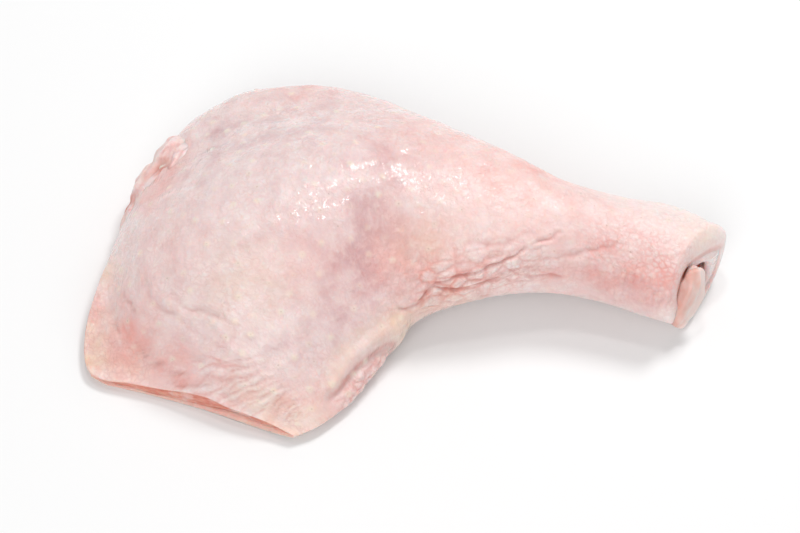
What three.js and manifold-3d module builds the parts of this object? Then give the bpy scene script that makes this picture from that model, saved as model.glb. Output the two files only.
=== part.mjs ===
// A raw chicken leg, thigh and drumstick in one piece, lying skin side up.
// Millimetres, +Z up. The leg lies along X, with the hock at +X and the hip cut at -X, and rests on Z = 0.
// The skin is a sleeve with two mouths: a long, low one along the hip cut, and a round one at the hock.
// The flesh runs through the sleeve. It shows under the skin's hem at the hip cut, with lobes at the back
// corner, and the tendon stands in the mouth at the hock.

import * as THREE from 'three';
import { mergeVertices } from 'three/addons/utils/BufferGeometryUtils.js';
import Module from 'manifold-3d';

const { lerp, clamp, smoothstep, degToRad } = THREE.MathUtils;

// Driving dimensions
const SKIN_THICKNESS = 1.6; // skin with the fat under it
const GAP = 0.35; // clearance between pieces that touch

// Stations from the hip cut (along 0) to the hock (along 1). Each gives the back and the front edge of the
// leg in plan, how high those two edges stand, how high the crown is next to them, and how low the underside
// reaches.
const STATIONS = [
  { along: 0.00, back: [-76.5, 32.5], front: [-31, -63.5], edge: [9, 3], crown: [15, 5], under: -2 },
  { along: 0.06, back: [-71, 43], front: [-23.5, -60], edge: [11, 4], crown: [21, 6], under: -2 },
  { along: 0.13, back: [-61, 52], front: [-16, -53.5], edge: [13, 4], crown: [26, 7], under: -2 },
  { along: 0.21, back: [-47, 57.5], front: [-9.5, -45.5], edge: [15, 5], crown: [30, 9], under: -2 },
  { along: 0.29, back: [-28, 58.5], front: [-3.5, -37], edge: [16, 6], crown: [32, 13], under: -2 },
  { along: 0.36, back: [-12, 54], front: [0, -30.5], edge: [17, 8], crown: [33, 21], under: -2 },
  { along: 0.42, back: [1, 46.5], front: [6, -26.5], edge: [18, 12], crown: [35, 29], under: -1 },
  { along: 0.50, back: [16, 38], front: [15, -23.5], edge: [18, 15], crown: [37, 35], under: 1 },
  { along: 0.60, back: [35, 26.5], front: [29, -20], edge: [18, 17], crown: [37, 37], under: 2.5 },
  { along: 0.70, back: [50, 17], front: [45, -18.5], edge: [18, 17], crown: [34, 34], under: 3 },
  { along: 0.80, back: [67, 12.5], front: [60, -20.5], edge: [16, 16], crown: [30.5, 30.5], under: 1 },
  { along: 0.90, back: [85, 9.5], front: [74, -25], edge: [15, 15], crown: [29, 29], under: -1 },
  { along: 1.00, back: [101.5, 0.5], front: [85.5, -28.5], edge: [15, 14], crown: [28, 28], under: -1 },
];

// The thigh's swelling: an oval dome over a thin apron that runs out to the hip cut.
const APRON = 6.8;
const THIGH = { centre: [-25, 0], reach: [71, 62], turn: 25, height: 42, fullness: 0.75 };

// The hip cut bows out from a straight line between its two ends: share of the way from back to front, x, y.
const HIP_CUT = [
  [0, -76.5, 32.5], [0.1, -84, 20], [0.23, -88.5, 1], [0.37, -93.5, -17], [0.43, -95, -25], [0.49, -95, -34],
  [0.54, -93, -40.5], [0.58, -88.5, -43.5], [0.64, -81, -45.5], [0.79, -60, -52], [0.92, -42, -59],
  [1, -31, -63.5],
];
const HIP_BOW_REACH = 0.4; // how far along the leg the bow of the hip cut is still felt
const HIP_HEM = { reach: 0.03, rim: 0.85 }; // how far in the skin rolls over, and the share of height left

// How far the skin's hem and the flesh stand back from the hip cut: share of the way from back to front, mm.
const HEM_BACK = [
  [0, 4], [0.1, 4], [0.2, 0.5], [0.56, -0.3], [0.66, 0.3], [0.8, 0.9], [0.86, 0], [0.95, 0.6], [1, 0],
];
const FLESH_BACK = [[0, 5], [0.2, 4], [0.5, 4], [0.62, 0.4], [0.8, 0.2], [0.87, 1.2], [0.94, 0.4], [1, 2]];
const STAND_REACH = 0.12; // how far along the leg they are still drawn back

// The hem sags at the hip cut: share of the way from back to front, and the share of height that is kept.
const HEM_SAG = [
  [0, 1], [0.3, 0.9], [0.45, 0.45], [0.56, 0.4], [0.64, 0.55], [0.74, 0.68], [0.84, 0.8], [1, 1],
];
const SAG_REACH = 0.06; // how far along the leg it still sags

// Lobes of flesh and fat beyond the skin at the back corner: centre, half sizes, and turn about Z in degrees.
const LOBES = [
  { at: [-77.5, 25.5, 9], half: [5.5, 10.5, 7], turn: -32 },
  { at: [-82.5, 14, 7], half: [4.5, 9.5, 5.5], turn: -20 },
  { at: [-71.3, 33.8, 11.2], half: [6, 9, 7.5], turn: -42 },
];
const LOBE_SIDES = [16, 10];

// The flap of skin behind the knee comes out from under the fold above it, which runs along these places.
const FLAP = {
  fold: [[2, -30], [-4.5, -35.1], [-8.4, -38.6], [-13.4, -43.2], [-19.2, -50.4], [-24, -55]],
  drop: 4, // height of the step
  edge: 1.8, // half the width of the step
  reach: 9, // how far past the step the flap stays low
  fade: 0.35, // share of the fold's length over which the step dies away
};

// The dip between thigh and drumstick, along a line in plan.
const DIP = { line: [[-10, -40], [-8, -24], [-7, -10], [-10, 4]], depth: 3, width: 9 };

const UNDERSIDE_BOW = 0.8; // below 1, the underside bulges out under the edges

// The skin folds in at the hock: how far along it starts, and the share of the section that stays open.
const HOCK_LIP = { from: 0.98, mouth: 0.8, foldedMouth: 0.42 };
// The mouth is cut back on its upper front side: the share of the leg that is cut off, how far along the slant
// starts, and its first angle round the leg and how far it runs from there.
const HOCK_SLANT = { most: 0.042, from: 0.86, start: degToRad(25), span: degToRad(215) };
const TENDON = { at: [90.4, -15.7, 11.7], radius: 3.8, length: 8.6, axis: [0.3, 0.66, 0.69] };
const TENDON_SIDES = [6, 16, 3];

// Sides of each tube over the top and along the underside, and rings along the leg. The cavity in the skin
// has the flesh's own rings, so that their faces run side by side.
const SKIN_SIDES = [38, 26];
const FLESH_SIDES = [24, 16];
const CROWDING = 0.6; // 0 spaces the rings evenly, 1 packs them close at both ends
const SKIN_RINGS = spread(0, 1, 59);
const FLESH_RINGS = spread(0, 0.95, 22);
const CAVITY_RINGS = [-0.03, ...FLESH_RINGS, 0.98, 1.0, 1.03];

const LOOKS = {
  skin: { color: '#ecd3ce', roughness: 0.45, metalness: 0 },
  flesh: { color: '#d08877', roughness: 0.4, metalness: 0 },
  tendon: { color: '#e6c8bf', roughness: 0.35, metalness: 0 },
};

// Places along the leg, closer together near both ends.
function spread(from, to, steps) {
  const even = Array.from({ length: steps + 1 }, (_, i) => i / steps);
  return even.map((t) => lerp(from, to, t - CROWDING * Math.sin(2 * Math.PI * t) / (2 * Math.PI)));
}

// A smooth curve through (keys[i], values[i]) at t, straight past both ends.
function smooth(keys, values, t) {
  const last = keys.length - 1;
  const slope = (a, b) => (values[b] - values[a]) / (keys[b] - keys[a]);
  const tangent = (i) => slope(Math.max(i - 1, 0), Math.min(i + 1, last));
  if (t <= keys[0]) return values[0] + (t - keys[0]) * tangent(0);
  if (t >= keys[last]) return values[last] + (t - keys[last]) * tangent(last);
  const i = keys.findIndex((key, n) => n < last && t < keys[n + 1]);
  const span = keys[i + 1] - keys[i];
  const p = (t - keys[i]) / span;
  const q = 1 - p;
  return values[i] * (1 + 2 * p) * q * q + values[i + 1] * (3 - 2 * p) * p * p
    + span * p * q * (tangent(i) * q - tangent(i + 1) * p);
}

const column = (rows, n) => rows.map((row) => row[n]);
const inRows = (rows, t, n = 1) => smooth(column(rows, 0), column(rows, n), t);
const ALONG = STATIONS.map((station) => station.along);
const atStation = (pick, u) => smooth(ALONG, STATIONS.map(pick), u);
const hipCut = (f) => new THREE.Vector2(inRows(HIP_CUT, f, 1), inRows(HIP_CUT, f, 2));

// Plan position at share f of the way from the back edge (0) to the front edge (1), drawn in by inset at the
// edges, and by back at the hip cut.
function plan(u, f, inset, back) {
  const start = new THREE.Vector2(atStation((s) => s.back[0], u), atStation((s) => s.back[1], u));
  const end = new THREE.Vector2(atStation((s) => s.front[0], u), atStation((s) => s.front[1], u));
  const across = end.clone().sub(start).normalize();
  start.addScaledVector(across, inset);
  end.addScaledVector(across, -inset);
  const point = start.lerp(end, f);
  const chord = new THREE.Vector2(...STATIONS[0].back).lerp(new THREE.Vector2(...STATIONS[0].front), f);
  point.addScaledVector(hipCut(f).sub(chord), Math.max(0, 1 - u / HIP_BOW_REACH) ** 2);
  const step = 0.02;
  const along = hipCut(Math.min(f + step, 1)).sub(hipCut(Math.max(f - step, 0))).normalize();
  const inward = new THREE.Vector2(-along.y, along.x);
  return point.addScaledVector(inward, back * Math.max(0, 1 - Math.max(u, 0) / STAND_REACH) ** 2);
}

// Height of the thigh's dome over a place in plan.
function dome(x, y) {
  const local = new THREE.Vector2(x - THIGH.centre[0], y - THIGH.centre[1]);
  local.rotateAround(new THREE.Vector2(), -degToRad(THIGH.turn));
  const out = (local.x / THIGH.reach[0]) ** 2 + (local.y / THIGH.reach[1]) ** 2;
  return THIGH.height * Math.max(0, 1 - out) ** THIGH.fullness;
}

// The nearest place on a line in plan: how far away it is, the share of the line's length at which it lies,
// and the side of the line (1 is to the right of its direction).
function nearest(line, x, y) {
  let best = { away: Infinity, share: 0, side: 1 };
  for (let i = 0; i < line.length - 1; i += 1) {
    const [ax, ay] = line[i];
    const [dx, dy] = [line[i + 1][0] - ax, line[i + 1][1] - ay];
    const t = clamp(((x - ax) * dx + (y - ay) * dy) / (dx * dx + dy * dy), 0, 1);
    const away = Math.hypot(x - ax - t * dx, y - ay - t * dy);
    const side = (x - ax) * dy - (y - ay) * dx >= 0 ? 1 : -1;
    if (away < best.away) best = { away, share: (i + t) / (line.length - 1), side };
  }
  return best;
}

// How much the dip and the fold at the flap lower the skin at a place in plan. What lies under the skin is
// lowered further out on both sides of the fold, so that the skin keeps its thickness over the step.
function relief(x, y, inset) {
  const dip = nearest(DIP.line, x, y);
  const hollow = DIP.depth * Math.exp(-((dip.away / DIP.width) ** 2)) * Math.sin(Math.PI * dip.share);
  const fold = nearest(FLAP.fold, x, y);
  const below = -fold.side * fold.away;
  const step = FLAP.drop * smoothstep(below, -FLAP.edge - 2 * inset, FLAP.edge);
  const reach = Math.exp(-((Math.max(below, 0) / (FLAP.reach + 2 * inset)) ** 2));
  return hollow + step * reach * smoothstep(1 - fold.share, 0, FLAP.fade);
}

// The larger of several heights, with the step between them rounded off.
function blendedMax(...heights) {
  const power = 6;
  return heights.reduce((sum, height) => sum + Math.max(height, 0) ** power, 0) ** (1 / power);
}

// The share along the leg at which a ring lies at an angle round it, with the slant of the hock's mouth.
function slanted(ring, angle) {
  const turn = clamp((angle - HOCK_SLANT.start) / HOCK_SLANT.span, 0, 1);
  return ring - HOCK_SLANT.most * Math.sin(Math.PI * turn) ** 1.3 * smoothstep(ring, HOCK_SLANT.from, 1);
}

// A point of the leg's surface, drawn in by inset: ring runs from the hip cut to the hock, and angle goes round
// from the back edge (0) over the crown (90 degrees) to the front edge and back along the underside.
function surface(ring, angle, inset, stand) {
  const u = slanted(ring, angle);
  const f = (1 - Math.cos(angle)) / 2;
  const sine = Math.sin(angle);
  const place = plan(u, f, inset, stand(f, sine));
  const hem = Math.sqrt(1 - (1 - clamp(u / HIP_HEM.reach, 0, 1)) ** 2);
  const station = lerp(atStation((s) => s.crown[0], u), atStation((s) => s.crown[1], u), f);
  const full = blendedMax(APRON, dome(place.x, place.y), station) * lerp(HIP_HEM.rim, 1, hem);
  const crown = full - relief(place.x, place.y, inset) - inset;
  const edge = Math.min(lerp(atStation((s) => s.edge[0], u), atStation((s) => s.edge[1], u), f), crown);
  const under = atStation((s) => s.under, u) + inset;
  const z = sine >= 0
    ? edge + (crown - edge) * sine
    : Math.max(edge + (under - edge) * (-sine) ** UNDERSIDE_BOW, inset);
  const sag = lerp(inRows(HEM_SAG, f), 1, smoothstep(u, 0, SAG_REACH));
  const point = new THREE.Vector3(place.x, place.y, z * sag);
  if (ring > HOCK_LIP.from) {
    const p = Math.min((ring - HOCK_LIP.from) / (1 - HOCK_LIP.from), 1);
    const middle = plan(u, 0.5, 0, 0);
    const centre = new THREE.Vector3(middle.x, middle.y, (station + under) / 2);
    const mouth = lerp(HOCK_LIP.mouth, HOCK_LIP.foldedMouth, Math.max(0, sine) ** 3);
    point.sub(centre).multiplyScalar(lerp(mouth, 1, Math.sqrt(1 - p * p))).add(centre);
  }
  return point;
}

// A closed tube through rings along the leg. Each end is capped by triangles from its top to its underside.
function tube(rings, inset, [over, under], stand) {
  const positions = [];
  const index = [];
  const sides = over + under;
  const angles = [];
  for (let j = 0; j < over; j += 1) angles.push((j / over) * Math.PI);
  for (let j = 0; j < under; j += 1) angles.push((1 + j / under) * Math.PI);
  for (const u of rings) {
    for (const angle of angles) positions.push(...surface(u, angle, inset, stand));
  }
  const at = (i, j) => i * sides + (j + sides) % sides;
  const gap = (a, b) => Math.hypot(...[0, 1, 2].map((n) => positions[3 * a + n] - positions[3 * b + n]));
  for (let i = 0; i < rings.length - 1; i += 1) {
    for (let j = 0; j < sides; j += 1) {
      const [a, b, c, d] = [at(i, j), at(i, j + 1), at(i + 1, j + 1), at(i + 1, j)];
      index.push(...(gap(a, c) < gap(b, d) ? [a, c, d, a, b, c] : [a, b, d, b, c, d]));
    }
  }
  const cap = (row, turned) => {
    const share = (j) => Math.cos(angles[(j + sides) % sides]);
    let [top, low] = [1, 0];
    while (top + low < sides - 1) {
      const onTop = low >= under - 1 || (top < over && share(top + 1) >= share(-low - 1));
      const next = onTop ? at(row, top + 1) : at(row, -low - 1);
      const face = [at(row, top), next, at(row, -low)];
      index.push(...(turned ? face.reverse() : face));
      if (onTop) top += 1;
      else low += 1;
    }
  };
  cap(0, true);
  cap(rings.length - 1, false);
  const geometry = new THREE.BufferGeometry();
  geometry.setAttribute('position', new THREE.Float32BufferAttribute(positions, 3));
  geometry.setIndex(index);
  return geometry;
}

const wasm = await Module();
wasm.setup();

function toSolid(geometry) {
  const bare = new THREE.BufferGeometry();
  bare.setAttribute('position', geometry.getAttribute('position'));
  bare.setIndex(geometry.getIndex());
  const merged = mergeVertices(bare, 1e-4);
  return new wasm.Manifold(new wasm.Mesh({
    numProp: 3,
    vertProperties: merged.getAttribute('position').array,
    triVerts: new Uint32Array(merged.getIndex().array),
  }));
}

function toMesh(name, solid) {
  const { vertProperties, triVerts } = solid.getMesh();
  const geometry = new THREE.BufferGeometry();
  geometry.setAttribute('position', new THREE.BufferAttribute(vertProperties, 3));
  geometry.setIndex(new THREE.BufferAttribute(triVerts, 1));
  geometry.computeVertexNormals();
  const mesh = new THREE.Mesh(geometry, new THREE.MeshStandardMaterial(LOOKS[name]));
  mesh.name = name;
  return mesh;
}

// The lobes at the back corner, each grown by extra.
function lobes(extra) {
  return LOBES.map(({ at, half, turn }) => {
    const ball = new THREE.SphereGeometry(1, ...LOBE_SIDES);
    ball.scale(...half.map((size) => size + extra));
    return toSolid(ball.rotateZ(degToRad(turn)).translate(...at));
  }).reduce((sum, lobe) => sum.add(lobe));
}

function tendon() {
  const { at, radius, length, axis } = TENDON;
  const capsule = new THREE.CapsuleGeometry(radius, length, ...TENDON_SIDES);
  capsule.applyQuaternion(new THREE.Quaternion().setFromUnitVectors(
    new THREE.Vector3(0, 1, 0),
    new THREE.Vector3(...axis).normalize(),
  ));
  return toSolid(capsule.translate(...at));
}

// The hem stands back along the top of the hip cut only, so the underside reaches out below it as a lip.
function skin() {
  const hem = (f, sine) => inRows(HEM_BACK, f) * Math.sqrt(Math.max(sine, 0));
  const flush = () => 0;
  const outside = toSolid(tube(SKIN_RINGS, 0, SKIN_SIDES, hem));
  const cavity = toSolid(tube(CAVITY_RINGS, SKIN_THICKNESS, FLESH_SIDES, flush));
  return outside.subtract(cavity).subtract(lobes(GAP));
}

function flesh() {
  const stand = (f) => inRows(FLESH_BACK, f);
  return toSolid(tube(FLESH_RINGS, SKIN_THICKNESS + GAP, FLESH_SIDES, stand)).add(lobes(0));
}

const leg = new THREE.Group();
leg.add(toMesh('skin', skin()), toMesh('flesh', flesh()), toMesh('tendon', tendon()));

// The leg stands on the origin, with the middle of its box over it.
const box = new THREE.Box3().setFromObject(leg);
const middle = box.getCenter(new THREE.Vector3());
leg.position.set(-middle.x, -middle.y, -box.min.z);

const part = new THREE.Group();
part.add(leg);

export default part;
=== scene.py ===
"""A raw chicken leg, thigh and drumstick in one piece with the skin on, dressed around its solids.

The leg lies along X with the hock at +X and the hip cut at -X. Its skin, its flesh and its tendon are each
built over the same smooth form as the solids, and then get the creases, goose bumps, fat and wet sheen of
raw poultry. Shapes are worked out in millimetres and turned to metres when a mesh is made.
"""

import math

import bmesh
import bpy
import numpy as np
from bpy.props import FloatProperty, FloatVectorProperty, PointerProperty
from bpy.types import Operator, Panel, PropertyGroup
from mathutils import Matrix, Vector, kdtree, noise


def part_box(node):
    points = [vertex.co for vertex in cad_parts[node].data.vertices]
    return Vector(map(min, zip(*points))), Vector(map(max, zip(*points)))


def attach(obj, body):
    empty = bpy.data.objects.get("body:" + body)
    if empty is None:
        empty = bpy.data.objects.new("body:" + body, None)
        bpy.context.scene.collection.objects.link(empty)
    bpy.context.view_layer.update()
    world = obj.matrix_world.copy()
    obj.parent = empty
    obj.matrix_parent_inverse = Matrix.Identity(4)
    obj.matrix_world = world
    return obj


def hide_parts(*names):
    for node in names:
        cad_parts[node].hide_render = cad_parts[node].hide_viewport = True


bl_info = {
    "name": "Raw Chicken Leg",
    "version": (1, 0, 0),
    "blender": (4, 5, 0),
    "location": "View3D > Sidebar > Chicken Leg",
    "description": "Builds a raw chicken leg with skin, cut flesh and tendon, on a plain stage",
    "category": "Add Mesh",
}

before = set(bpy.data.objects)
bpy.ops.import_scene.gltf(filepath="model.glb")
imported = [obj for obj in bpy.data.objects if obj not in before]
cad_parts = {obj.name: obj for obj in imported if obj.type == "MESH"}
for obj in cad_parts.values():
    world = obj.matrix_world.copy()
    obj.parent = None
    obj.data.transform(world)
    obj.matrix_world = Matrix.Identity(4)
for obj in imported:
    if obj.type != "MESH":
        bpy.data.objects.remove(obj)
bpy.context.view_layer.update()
MM = 0.001

# Stations from the hip cut to the hock: share along the leg; back edge x, y; front edge x, y; height of the
# back and the front edge; height of the crown at the back and at the front; depth of the underside.
STATIONS = np.array([
    [0.00, -76.5, 32.5, -31.0, -63.5, 9, 3, 15, 5, -2],
    [0.06, -71.0, 43.0, -23.5, -60.0, 11, 4, 21, 6, -2],
    [0.13, -61.0, 52.0, -16.0, -53.5, 13, 4, 26, 7, -2],
    [0.21, -47.0, 57.5, -9.5, -45.5, 15, 5, 30, 9, -2],
    [0.29, -28.0, 58.5, -3.5, -37.0, 16, 6, 32, 13, -2],
    [0.36, -12.0, 54.0, 0.0, -30.5, 17, 8, 33, 21, -2],
    [0.42, 1.0, 46.5, 6.0, -26.5, 18, 12, 35, 29, -1],
    [0.50, 16.0, 38.0, 15.0, -23.5, 18, 15, 37, 35, 1],
    [0.60, 35.0, 26.5, 29.0, -20.0, 18, 17, 37, 37, 2.5],
    [0.70, 50.0, 17.0, 45.0, -18.5, 18, 17, 34, 34, 3],
    [0.80, 67.0, 12.5, 60.0, -20.5, 16, 16, 30.5, 30.5, 1],
    [0.90, 85.0, 9.5, 74.0, -25.0, 15, 15, 29, 29, -1],
    [1.00, 101.5, 0.5, 85.5, -28.5, 15, 14, 28, 28, -1],
])

# The thigh's swelling: an oval dome over a thin apron that runs out to the hip cut.
APRON = 6.8
DOME_CENTRE = (-25.0, 0.0)
DOME_REACH = (71.0, 62.0)
DOME_TURN = math.radians(25.0)
DOME_HEIGHT = 42.0
DOME_FULLNESS = 0.75
BLEND_POWER = 6

# The bowed line of the hip cut: share of the way from back to front, x, y.
HIP_CUT = np.array([
    [0, -76.5, 32.5], [0.1, -84, 20], [0.23, -88.5, 1], [0.37, -93.5, -17], [0.43, -95, -25],
    [0.49, -95, -34], [0.54, -93, -40.5], [0.58, -88.5, -43.5], [0.64, -81, -45.5], [0.79, -60, -52],
    [0.92, -42, -59], [1, -31, -63.5],
])
HIP_BOW_REACH = 0.4  # how far along the leg the bow is still felt
HIP_HEM_REACH = 0.03  # how far in the hem rolls over
HIP_HEM_RIM = 0.85  # the share of its height that the rim keeps

# How far the hem of the skin and the flesh stand back from the hip cut: share from back to front, mm.
HEM_BACK = np.array([
    [0, 4], [0.1, 4], [0.2, 0.5], [0.56, -0.3], [0.66, 0.3], [0.8, 0.9], [0.86, 0], [0.95, 0.6], [1, 0],
])
FLESH_BACK = np.array([
    [0, 5], [0.2, 4], [0.5, 4], [0.62, 0.4], [0.8, 0.2], [0.87, 1.2], [0.94, 0.4], [1, 2],
])
STAND_REACH = 0.12  # how far along the leg they are still drawn back

# The hem sags at the hip cut: share from back to front, and the share of height that is kept.
HEM_SAG = np.array([
    [0, 1], [0.3, 0.9], [0.45, 0.45], [0.56, 0.4], [0.64, 0.55], [0.74, 0.68], [0.84, 0.8], [1, 1],
])
SAG_REACH = 0.06  # how far along the leg it still sags

# The hock's mouth is cut back on its upper front side: the share of the leg that is cut off, where along the
# leg that starts, and its first angle round the leg and how far it runs from there.
HOCK_SLANT = 0.042
SLANT_FROM = 0.86
SLANT_START = math.radians(25)
SLANT_SPAN = math.radians(215)
MOUTH_FACING = np.array([0.875, -0.485, 0.0])  # the way that the mouth faces

# The fold over the flap of skin behind the knee, and the dip between thigh and drumstick, in plan.
FLAP_FOLD = np.array([[2, -30], [-4.5, -35.1], [-8.4, -38.6], [-13.4, -43.2], [-19.2, -50.4], [-24, -55]])
FLAP_DROP = 4.0  # height of the step
FLAP_EDGE = 1.1  # half the width of the step
FLAP_REACH = 9.0  # how far past the step the flap stays low
FLAP_FADE = 0.25  # share of the fold's length over which the step dies away
DIP_LINE = np.array([[-10, -40], [-8, -24], [-7, -10], [-10, 4]])
DIP_DEPTH = 3.0
DIP_WIDTH = 9.0

UNDERSIDE_BOW = 0.8  # below 1, the underside bulges out under the edges
WALL = 1.6  # skin with the fat under it

# The skin rolls in at the hock: where along the leg it starts, the share of the section that stays open, the
# same over the top where the skin is folded, how much of that goes on round the far side, and how much more
# the lip closes behind its rim.
LIP_FROM = 0.98
LIP_MOUTH = 0.8
LIP_FOLDED = 0.42
LIP_FAR = 0.55
LIP_INWARD = 0.16
LIP_FAR_AT = math.radians(10)  # where round the leg the far side's closing is strongest
LIP_FAR_SPREAD = 0.3  # and how widely it spreads from there

# Creases of the skin, each through points given as (share along the leg, degrees round it from the back edge
# over the crown to the front edge), with its depth and half width in mm.
CREASES = {
    "knee upper": ([(0.435, 159), (0.479, 156), (0.517, 156), (0.563, 157), (0.612, 150), (0.639, 142),
                    (0.69, 126), (0.712, 120)], 0.8, 0.5),
    "knee middle": ([(0.362, 158), (0.41, 166), (0.456, 158), (0.521, 168), (0.581, 168), (0.636, 159)],
                    0.9, 0.55),
    "knee lower": ([(0.483, 178), (0.551, 188), (0.614, 187)], 0.8, 0.55),
    "knee end": ([(0.661, 167), (0.691, 168), (0.729, 166)], 0.6, 0.6),
    "shank lower": ([(0.687, 150), (0.737, 139), (0.778, 128), (0.827, 114)], 0.4, 0.8),
    "shank upper": ([(0.536, 134), (0.575, 136), (0.611, 134), (0.657, 124)], 0.4, 0.8),
    "apron long": ([(0.034, 80), (0.049, 90), (0.051, 96)], 0.5, 0.5),
    "apron short": ([(0.029, 88), (0.033, 92)], 0.4, 0.5),
    "apron low": ([(0.038, 98), (0.027, 105)], 0.45, 0.5),
    "thigh foot": ([(0.062, 88), (0.065, 94), (0.063, 101), (0.059, 108), (0.054, 115)], 0.35, 0.9),
    "thigh front": ([(0.079, 98), (0.072, 105), (0.078, 112), (0.081, 119)], 0.35, 0.8),
    "apron red": ([(0.031, 102), (0.023, 109), (0.02, 114), (0.02, 118), (0.025, 123)], 0.6, 0.6),
    "apron hem": ([(0.009, 116), (0.006, 121), (0.016, 127)], 0.6, 0.6),
}

# Tones of the skin as soft patches on each channel: share along the leg, degrees round it, radius in mm and
# strength. Some are partly painted shade: the mauve and blush over the upper back side, at 60 to 80
# degrees, darken the side that faces away, and the mauve and blush at 0.33 to 0.38 along, at 125 to 138
# degrees, darken the dip between thigh and drumstick.
MAUVE, BLUSH, FAT, BLOOD = range(4)
PATCHES = {
    MAUVE: [
        (0.33, 138, 14, 0.65), (0.12, 58, 12, 0.25), (0.16, 45, 9, 0.35), (0.26, 118, 16, 0.2),
        (0.20, 145, 14, 0.2), (0.12, 108, 14, 0.1), (0.77, 150, 14, 0.6), (0.88, 160, 12, 0.6),
        (0.25, 60, 20, 0.3), (0.42, 70, 18, 0.25), (0.38, 125, 13, 0.45),
    ],
    BLUSH: [
        (0.03, 100, 12, 0.7), (0.02, 115, 9, 0.55), (0.53, 160, 16, 0.4), (0.46, 158, 10, 0.3),
        (0.11, 165, 13, 0.3), (0.76, 150, 16, 0.45), (0.28, 20, 14, 0.35), (0.68, 20, 18, 0.6),
        (0.02, 150, 10, 0.3), (0.92, 140, 8, 0.5), (0.46, 60, 20, 0.4), (0.60, 80, 18, 0.4),
        (0.03, 88, 12, 0.55), (0.33, 138, 12, 0.3), (0.38, 125, 13, 0.35), (0.2, 118, 11, 0.3),
        (0.06, 42, 9, 0.8), (0.06, 58, 9, 0.6), (0.09, 85, 12, 0.25), (0.85, 100, 15, 0.18),
        (0.88, 158, 12, 0.25),
    ],
    FAT: [
        (0.02, 165, 9, 0.6), (0.0, 85, 7, 0.8), (0.0, 93, 7, 0.9), (0.01, 104, 5, 0.4), (0.34, 172, 7, 0.4),
        (0.42, 178, 7, 0.3), (0.52, 188, 7, 0.4), (0.97, 70, 8, 0.35), (0.12, 112, 12, 0.45),
        (0.02, 138, 9, 0.3), (0.43, 130, 10, 0.35), (0.01, 70, 6, 0.5),
    ],
}


# ---------------------------------------------------------------------------------------------------------
# The smooth form of the leg
# ---------------------------------------------------------------------------------------------------------

def lerp(a, b, t):
    return a + (b - a) * t


def ease(t, low, high):
    """A smooth step from 0 at low to 1 at high."""
    t = np.clip((t - low) / (high - low), 0, 1)
    return t * t * (3 - 2 * t)


def bell(t, middle, width):
    return np.exp(-((t - middle) / width) ** 2)


def smooth(keys, values, t):
    """A smooth curve through (keys, values) at t, straight past both ends."""
    last = len(keys) - 1
    before = np.maximum(np.arange(last + 1) - 1, 0)
    after = np.minimum(np.arange(last + 1) + 1, last)
    tangent = (values[after] - values[before]) / (keys[after] - keys[before])
    t = np.asarray(t, float)
    i = np.clip(np.searchsorted(keys, t, side="right") - 1, 0, last - 1)
    span = keys[i + 1] - keys[i]
    p = (t - keys[i]) / span
    q = 1 - p
    inside = (
        values[i] * (1 + 2 * p) * q * q
        + values[i + 1] * (3 - 2 * p) * p * p
        + span * p * q * (tangent[i] * q - tangent[i + 1] * p)
    )
    below = values[0] + (t - keys[0]) * tangent[0]
    above = values[last] + (t - keys[last]) * tangent[last]
    return np.where(t <= keys[0], below, np.where(t >= keys[last], above, inside))


def in_rows(rows, t, n=1):
    return smooth(rows[:, 0], rows[:, n], t)


def plan(u, f, inset, back):
    """Plan position at share f of the way from the back edge to the front edge.

    It is drawn in from both edges by inset, and back from the hip cut by back.
    """
    start_x, start_y, end_x, end_y = (in_rows(STATIONS, u, n) for n in (1, 2, 3, 4))
    length = np.hypot(end_x - start_x, end_y - start_y)
    across_x = (end_x - start_x) / length
    across_y = (end_y - start_y) / length
    x = lerp(start_x + across_x * inset, end_x - across_x * inset, f)
    y = lerp(start_y + across_y * inset, end_y - across_y * inset, f)
    bow = np.maximum(0, 1 - u / HIP_BOW_REACH) ** 2
    x = x + (in_rows(HIP_CUT, f, 1) - lerp(STATIONS[0, 1], STATIONS[0, 3], f)) * bow
    y = y + (in_rows(HIP_CUT, f, 2) - lerp(STATIONS[0, 2], STATIONS[0, 4], f)) * bow
    step = 0.02
    low = np.maximum(f - step, 0)
    high = np.minimum(f + step, 1)
    along_x = in_rows(HIP_CUT, high, 1) - in_rows(HIP_CUT, low, 1)
    along_y = in_rows(HIP_CUT, high, 2) - in_rows(HIP_CUT, low, 2)
    reach = back * np.maximum(0, 1 - np.maximum(u, 0) / STAND_REACH) ** 2 / np.hypot(along_x, along_y)
    return x - along_y * reach, y + along_x * reach


def dome(x, y):
    dx = x - DOME_CENTRE[0]
    dy = y - DOME_CENTRE[1]
    turned_x = dx * math.cos(DOME_TURN) + dy * math.sin(DOME_TURN)
    turned_y = dy * math.cos(DOME_TURN) - dx * math.sin(DOME_TURN)
    out = (turned_x / DOME_REACH[0]) ** 2 + (turned_y / DOME_REACH[1]) ** 2
    return DOME_HEIGHT * np.maximum(0, 1 - out) ** DOME_FULLNESS


def nearest(line, x, y):
    """How far each place is from a line in plan, its share of the line's length, and its side of the line."""
    away = np.full(np.shape(x), np.inf)
    share = np.zeros(np.shape(x))
    side = np.ones(np.shape(x))
    for i in range(len(line) - 1):
        ax, ay = line[i]
        dx, dy = line[i + 1] - line[i]
        t = np.clip(((x - ax) * dx + (y - ay) * dy) / (dx * dx + dy * dy), 0, 1)
        distance = np.hypot(x - ax - t * dx, y - ay - t * dy)
        closer = distance < away
        away = np.where(closer, distance, away)
        share = np.where(closer, (i + t) / (len(line) - 1), share)
        side = np.where(closer, np.where((x - ax) * dy - (y - ay) * dx >= 0, 1, -1), side)
    return away, share, side


def below_fold(x, y):
    """Distance past the fold over the flap, and how much of the fold is left there."""
    away, share, side = nearest(FLAP_FOLD, x, y)
    return -side * away, ease(1 - share, 0, FLAP_FADE)


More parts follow.
